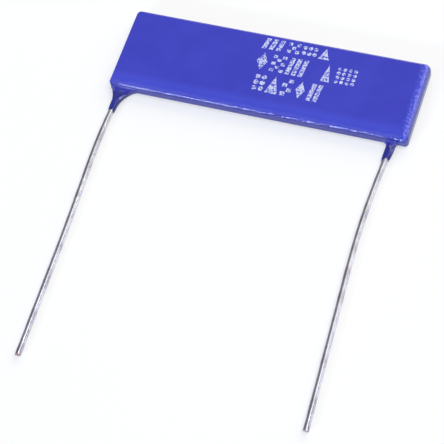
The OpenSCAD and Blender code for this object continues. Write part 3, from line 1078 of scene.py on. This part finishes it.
@dataclass(frozen=True)
class Marking:
    """Three rows of plain printed figures on the front face."""

    cell: float = 0.25
    left: float = -2.15
    middle: float = 1.7
    pitch: float = 3.4
    height: float = 2.75
    first_height: float = 1.75
    indent: float = 0.5
    stroke: float = 0.6
    gap: float = 0.16
    level: float = 2.0
    ink: float = 0.02
    rows: tuple[tuple[Mark, ...], ...] = (
        (
            Mark(Figure.BARS, 0, 12, 3), Mark(Figure.TILES, 14, 7, 3, 3),
            Mark(Figure.DOTS, 22, 9, 3, 2), Mark(Figure.WEDGE, 32, 6),
        ),
        (
            Mark(Figure.LOZENGE, 0, 6), Mark(Figure.TILES, 8, 8, 3, 5), Mark(Figure.BARS, 17, 11, 3),
            Mark(Figure.WEDGE, 37, 5), Mark(Figure.DOTS, 44, 12, 4, 4),
        ),
        (
            Mark(Figure.DOTS, 0, 7, 2, 3), Mark(Figure.WEDGE, 8, 7), Mark(Figure.TILES, 16, 6, 2, 4),
            Mark(Figure.LOZENGE, 24, 5), Mark(Figure.BARS, 31, 7, 2),
        ),
    )

    def values(self, mark: Mark, height: float) -> dict[str, Any]:
        """Inputs of a figure's tree, in millimetres and from its lower left corner.

        Args:
            mark: The figure.
            height: Height of its row.

        Returns:
            The value of each input, with the middle of the figure's first element.
        """
        w, h = mark.cells * self.cell, height
        one = {"Sides": 4, "Turn": 0.0, "Slant": 0.0, "Across": 1, "Up": 1, "Chequered": False}
        grid = {"Across": mark.across, "Up": mark.up}
        square = {"Turn": pi / 4}
        to_corner = sqrt(0.5)
        pitch = (w / mark.across, h / mark.up)
        middle = (pitch[0] / 2, pitch[1] / 2)
        if mark.figure is Figure.BARS:
            one |= square | {"Slant": (pitch[0] - self.stroke) / h, "Across": mark.across}
            radii = (self.stroke * to_corner, h * to_corner)
        elif mark.figure is Figure.WEDGE:
            one |= {"Sides": 3, "Turn": pi / 2}
            radii, middle = (w / sqrt(3), h / 1.5), (w / 2, h / 3)
        elif mark.figure is Figure.LOZENGE:
            radii = (w / 2, h / 2)
        elif mark.figure is Figure.DOTS:
            one |= grid | {"Sides": DOT_SIDES}
            radii = (min(pitch) / 2 - self.gap / 2,) * 2
        else:
            one |= grid | square | {"Chequered": True}
            radii = tuple((p - self.gap / 2) * to_corner for p in pitch)
        return one | {"Radii": radii, "Pitch": pitch, "Middle": middle}

    def build(self, finish: WhiteInk) -> Object:
        """Makes the whole marking as one thin printed piece.

        Args:
            finish: The ink's finish.

        Returns:
            The marking, in place of its solid.
        """
        material = finish.build()
        tree = figure_tree()
        work = bmesh.new()
        for r, row in enumerate(self.rows):
            height = self.first_height if r == 0 else self.height
            x0 = self.left + (self.indent if r == 2 else 0.0)
            y0 = self.middle - self.height / 2 + (1 - r) * self.pitch
            for mark in row:
                values = self.values(mark, height)
                mx, my = values.pop("Middle")
                corner = (x0 + mark.cell * self.cell + mx, y0 + my, self.level + self.ink / 2)
                values["Origin"] = tuple(v * MM for v in corner)
                values["Radii"] = (*(v * MM for v in values["Radii"]), 1.0)
                values["Pitch"] = (*(v * MM for v in values["Pitch"]), 0.0)
                values["Ink height"] = self.ink * MM
                values["Material"] = material
                figure = link_object("figure", bpy.data.meshes.new("figure"))
                evaluate_tree(figure, tree, values)
                work.from_mesh(figure.data)
                bpy.data.objects.remove(figure)
        mesh = bpy.data.meshes.new("printed_marking")
        work.to_mesh(mesh)
        work.free()
        mesh.materials.append(material)
        made = link_object("printed_marking", mesh)
        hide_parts("marking_ink")
        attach(made, BODY)
        return made


# --- studio ---


@dataclass(frozen=True)
class Lamp:
    """One soft lamp that points at the part. Its distance and size are in metres.

    Its way leads from the part to the lamp, and a glow of 1 is white paper in full light.
    """

    name: str
    way: Triple
    distance: float
    size: Pair
    glow: float
    colour: Triple = (1.0, 1.0, 1.0)


@dataclass(frozen=True)
class Studio:
    """Floor, lamps and camera round the part. The camera's place is in millimetres."""

    azimuth: float = 31.446
    elevation: float = 58.811
    roll: float = -15.421
    distance: float = 250.66
    target: Triple = (0.455, -22.395, 0.0)
    lens: float = 156.73
    sensor: float = 36.0
    clip: Pair = (0.01, 20.0)
    floor_size: float = 3.0
    ambient: float = 0.25
    sky: Triple = (0.68, 0.84, 1.0)
    aim: Triple = (0.0, -0.005, 0.0)
    lamps: tuple[Lamp, ...] = (
        Lamp("front_strip", (-0.35, -0.88, 0.36), 0.7, (0.19, 0.055), 62.0, (0.62, 0.72, 1.0)),
        Lamp("front_softbox", (-0.3, -0.45, 0.84), 0.9, (0.8, 0.4), 0.6),
        Lamp("top_softbox", (0.35, 0.06, 0.93), 0.9, (0.45, 0.45), 5.5),
        Lamp("right_softbox", (0.9, 0.44, 0.1), 0.8, (0.3, 0.07), 9.5, (0.5, 0.7, 1.0)),
        Lamp("back_softbox", (0.2, 0.8, 0.5), 0.8, (1.0, 0.6), 2.8, (1.0, 0.9, 0.65)),
    )

    def build_floor(self) -> None:
        """Makes the white floor under the part."""
        half = self.floor_size / 2
        mesh = bpy.data.meshes.new("studio_floor")
        corners = [(-half, -half, 0), (half, -half, 0), (half, half, 0), (-half, half, 0)]
        mesh.from_pydata(corners, [], [(0, 1, 2, 3)])
        mesh.materials.append(StudioWhite().build())
        floor = link_object("studio_floor", mesh)

    def build_camera(self) -> None:
        """Makes the camera and puts it in place."""
        a, e, r = (radians(v) for v in (self.azimuth, self.elevation, self.roll))
        back = Vector((sin(a) * cos(e), -cos(a) * cos(e), sin(e)))
        level = Vector((cos(a), sin(a), 0.0))
        rise = back.cross(level)
        right = cos(r) * level + sin(r) * rise
        up = -sin(r) * level + cos(r) * rise
        data = bpy.data.cameras.new("studio_camera")
        data.sensor_width = self.sensor
        data.sensor_fit = "HORIZONTAL"
        data.lens = self.lens
        data.clip_start, data.clip_end = self.clip
        camera = link_object("studio_camera", data)
        turn = Matrix((right, up, back)).transposed().to_4x4()
        turn.translation = Vector(self.target) * MM + back * self.distance * MM
        camera.matrix_world = turn
        bpy.context.scene.camera = camera

    def hang(self, lamp: Lamp) -> None:
        """Makes one lamp and turns it to the part.

        Args:
            lamp: The lamp to hang.
        """
        data = bpy.data.lights.new(lamp.name, "AREA")
        data.shape = "RECTANGLE"
        data.size, data.size_y = lamp.size
        data.energy = lamp.glow * pi * lamp.size[0] * lamp.size[1]
        data.color = lamp.colour
        made = link_object(lamp.name, data)
        toward = Vector(lamp.way).normalized()
        made.location = Vector(self.aim) + toward * lamp.distance
        made.rotation_euler = toward.to_track_quat("Z", "Y").to_euler()
        made.visible_camera = False

    def build_light(self) -> None:
        """Hangs the lamps and lights the surroundings."""
        world = bpy.data.worlds.new("studio_world")
        world.use_nodes = True
        sky = world.node_tree.nodes["Background"]
        sky.inputs["Color"].default_value = (*self.sky, 1.0)
        sky.inputs["Strength"].default_value = self.ambient
        bpy.context.scene.world = world
        for lamp in self.lamps:
            self.hang(lamp)

    def build(self) -> None:
        """Builds the whole studio."""
        self.build_floor()
        self.build_camera()
        self.build_light()
        bpy.context.scene.view_settings.view_transform = "Standard"


# --- the part ---


@dataclass(frozen=True)
class ThickFilmResistor:
    """The whole part, built piece by piece."""

    coating: EpoxyCoating = EpoxyCoating()
    marking: Marking = Marking()
    leads: tuple[LeadWire, ...] = (
        LeadWire(
            "left_lead", "left_lead_wire", -19.33, -2.9,
            (Bend(3.8, 89.0, 5.3), Bend(7.6, 300.0, -1.2), Bend(15.284)),
            pinch=0.1, slant=0.12, bare=0.55,
        ),
        LeadWire(
            "right_lead", "right_lead_wire", 18.77, -3.1,
            (Bend(6.2, 118.0, 6.3), Bend(22.88)),
            pinch=0.35, slant=-0.12, bare=0.25,
        ),
    )

    def dress_inner_parts(self) -> None:
        """Gives the solids inside the coating, which are kept, their finishes."""
        alumina = InnerFinish(
            "alumina", linear(236, 234, 226), linear(196, 190, 176),
            roughness=0.55, waves=6000.0, octaves=2.0, speckling=(0.62, 0.75),
        ).build()
        silver = InnerFinish("silver_film", linear(198, 194, 184), roughness=0.38, metallic=1.0).build()
        track = InnerFinish("resistor_film", linear(34, 34, 38)).build()
        glaze = InnerFinish("green_overglaze", linear(34, 120, 78), roughness=0.12).build()
        solder = InnerFinish(
            "solder", linear(190, 190, 188), linear(160, 160, 160), roughness=0.35,
            unevenness=0.3, metallic=1.0, waves=1500.0, octaves=3.0, depth=0.00002,
        ).build()
        finishes = {
            "ceramic_substrate": alumina,
            "left_termination_pad": silver,
            "right_termination_pad": silver,
            "resistive_track": track,
            "glass_overglaze": glaze,
            "left_solder_joint": solder,
            "right_solder_joint": solder,
        }
        for name, material in finishes.items():
            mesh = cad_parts[name].data
            mesh.materials.clear()
            mesh.materials.append(material)
            LOG.info("dressed %s", name)

    def build(self) -> None:
        """Builds every piece and reports it."""
        self.dress_inner_parts()
        plated = TinnedCopper().build()
        pieces = [lead.build(plated) for lead in self.leads]
        pieces.append(self.coating.build(BlueEpoxy()))
        pieces.append(self.marking.build(WhiteInk()))
        for made in pieces:
            LOG.info("built %s with %d faces", made.name, len(made.data.polygons))


def main() -> None:
    """Builds the part in its studio."""
    logging.basicConfig(level=logging.INFO, format="%(name)s: %(message)s")
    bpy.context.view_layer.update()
    ThickFilmResistor().build()
    Studio().build()
    bpy.context.view_layer.update()


if __name__ == "__main__":
    main()
